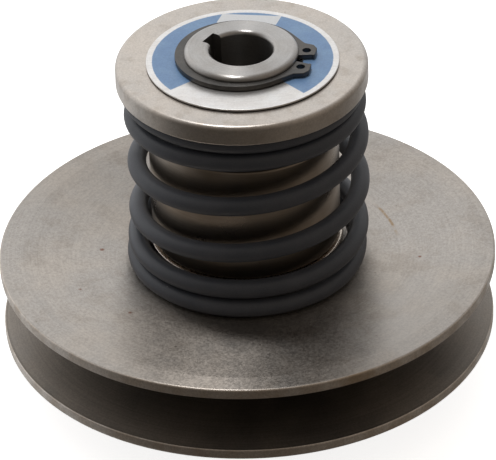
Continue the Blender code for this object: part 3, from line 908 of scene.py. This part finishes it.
def coil_point(turns):
    """The wire's centre: a helix that bows a little towards +X at half height."""
    x, y = around(COIL_R, 2 * math.pi * (turns - 0.25))
    bow = LEAN * math.sin(math.pi * (turns - LOW_TIP) / (HIGH_TIP - LOW_TIP)) ** 2
    return Vector((x + bow, y, coil_height(turns)))


def wire_ring(turns, radius, slide, sides):
    """Points round the wire, slid along it by some millimetres."""
    centre = coil_point(turns)
    along = (coil_point(turns + 0.001) - coil_point(turns - 0.001)).normalized()
    out = Vector((centre.x, centre.y, 0)).normalized()
    up = along.cross(out).normalized()
    out = up.cross(along)
    return [(centre + along * slide + out * x + up * y) * MM for x, y in circle(radius, sides)]


def swept_mesh(rings, sides):
    """A closed tube through rings that each have that number of points."""
    points = [point for ring in rings for point in ring]
    faces = [tuple(range(sides)), tuple(reversed(range(len(points) - sides, len(points))))]
    for ring in range(len(rings) - 1):
        here, there = ring * sides, (ring + 1) * sides
        for side in range(sides):
            after = (side + 1) % sides
            faces.append((here + side, there + side, there + after, here + after))
    mesh = bpy.data.meshes.new("swept")
    mesh.from_pydata(points, [], faces)
    shape = bmesh.new()
    shape.from_mesh(mesh)
    bmesh.ops.recalc_face_normals(shape, faces=shape.faces)
    shape.to_mesh(mesh)
    shape.free()
    return mesh


def make_spring():
    """The coated wire with its chamfered ends."""
    per_turn, sides = 110, 28
    count = round((HIGH_TIP - LOW_TIP) * per_turn)
    end_r = WIRE_R - WIRE_CHAMFER
    rings = [wire_ring(LOW_TIP, end_r, 0, sides), wire_ring(LOW_TIP, WIRE_R, WIRE_CHAMFER, sides)]
    for step in range(1, count):
        rings.append(wire_ring(LOW_TIP + (HIGH_TIP - LOW_TIP) * step / count, WIRE_R, 0, sides))
    rings += [wire_ring(HIGH_TIP, WIRE_R, -WIRE_CHAMFER, sides), wire_ring(HIGH_TIP, end_r, 0, sides)]
    mesh = swept_mesh(rings, sides)
    obj = piece(mesh, "sleeve_side", "compression_spring", "spring_coat", spring_look())
    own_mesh(obj)


flange_looks = (flange_face_look(), cone_face_look(), rim_look())
make_sleeve()
make_fixed_flange(flange_looks)
make_movable_flange(flange_looks)
make_movable_hub()
make_bushings_and_wipers()
make_keys()
make_set_screws()
make_cap()
make_plate()
make_ring()
make_spring()


# Floor, light and camera

FLOOR_R = 2.5  # metres
FLOOR_DROP = 0.0002


def floor_look():
    look = Look("white_sweep", 0.0, 0.6, Emission_Color=(1, 1, 1, 1), Emission_Strength=0.8)
    return look.paint(look.shade(grey(0.90), look.ramp(look.noise(90, 2, 0.5, 99.0), 0.3, 0.7, 0.99, 1.0)))


def make_floor():
    shape = bmesh.new()
    bmesh.ops.create_circle(shape, cap_ends=True, segments=96, radius=FLOOR_R)
    mesh = bpy.data.meshes.new("floor")
    shape.to_mesh(mesh)
    shape.free()
    mesh.materials.append(floor_look())
    floor = bpy.data.objects.new("floor", mesh)
    floor.location.z = -FLOOR_DROP
    bpy.context.scene.collection.objects.link(floor)
    floor.visible_glossy = floor.visible_diffuse = False


def softbox(name, place, aim, side, radiance):
    """A square area light of that radiance, at a place and facing a point, all in metres."""
    light = bpy.data.lights.new(name, "AREA")
    light.size = side
    light.energy = radiance * math.pi * side * side
    obj = bpy.data.objects.new(name, light)
    obj.location = place
    obj.rotation_euler = (Vector(aim) - Vector(place)).to_track_quat("-Z", "Y").to_euler()
    bpy.context.scene.collection.objects.link(obj)


def make_world():
    """A white room that is darker on the side where the camera stands, and plain white to look at."""
    world = bpy.data.worlds.new("studio")
    bpy.context.scene.world = world
    world.use_nodes = True
    world.node_tree.nodes.clear()
    sky = Shading(world.node_tree)
    x, y, z = sky.add("SeparateXYZ", sky.add("TexCoord").outputs["Generated"]).outputs
    towards_back = sky.plus(sky.times(x, -0.42), sky.times(y, 0.91))
    behind = sky.math("POWER", sky.straight(towards_back, -0.29, 0.83), 1.8)
    beside = sky.ramp(x, 0.1, 0.9, 0.0, 0.10)
    overhead = sky.ramp(z, 0.3, 1.0, 0.0, 0.12)
    everywhere = 0.09
    level = sky.plus(sky.times(behind, 0.78), sky.plus(beside, overhead))
    level = sky.times(sky.plus(level, everywhere), sky.ramp(z, -0.3, 0.35, 1.0, 1.42))
    warm = sky.straight(towards_back, 0.5, -0.4)
    tint = sky.mix(warm, (1.0, 1.0, 1.0, 1.0), (1.0, 0.87, 0.74, 1.0))
    lit = sky.add("Background", tint, level)
    plain = sky.add("Background", (1, 1, 1, 1), 1.0)
    seen = sky.add("LightPath").outputs["Is Camera Ray"]
    shown = sky.add("MixShader", seen, lit.outputs[0], plain.outputs[0])
    sky.add("OutputWorld", shown.outputs[0]).is_active_output = True


def make_camera():
    """The camera stands in front, 34 degrees above the horizon, and looks at the upper flange's rim."""
    elevation, roll = math.radians(33.6407), math.radians(-1.7529)
    away, across, above = 1.00321, 0.000230, 0.003832
    aim = Vector((0, 0, MOVABLE_RIM_TOP * MM))
    back = Vector((0, -math.cos(elevation), math.sin(elevation)))
    level = Vector((1, 0, 0))
    upright = Vector((0, math.sin(elevation), math.cos(elevation)))
    right = math.cos(roll) * level + math.sin(roll) * upright
    up = -math.sin(roll) * level + math.cos(roll) * upright
    data = bpy.data.cameras.new("camera")
    data.sensor_width = 36.0
    data.lens = 284.0
    data.clip_start, data.clip_end = 0.05, 20.0
    camera = bpy.data.objects.new("camera", data)
    turn = Matrix((right, up, back)).transposed()
    spot = aim + back * away + right * across + up * above
    camera.matrix_world = Matrix.Translation(spot) @ turn.to_4x4()
    bpy.context.scene.collection.objects.link(camera)
    bpy.context.scene.camera = camera


make_floor()
make_world()
softbox("key", (-0.10, 0.12, 0.93), (0, 0, 0.05), 0.11, 62.0)
make_camera()
bpy.context.scene.view_settings.view_transform = "Standard"
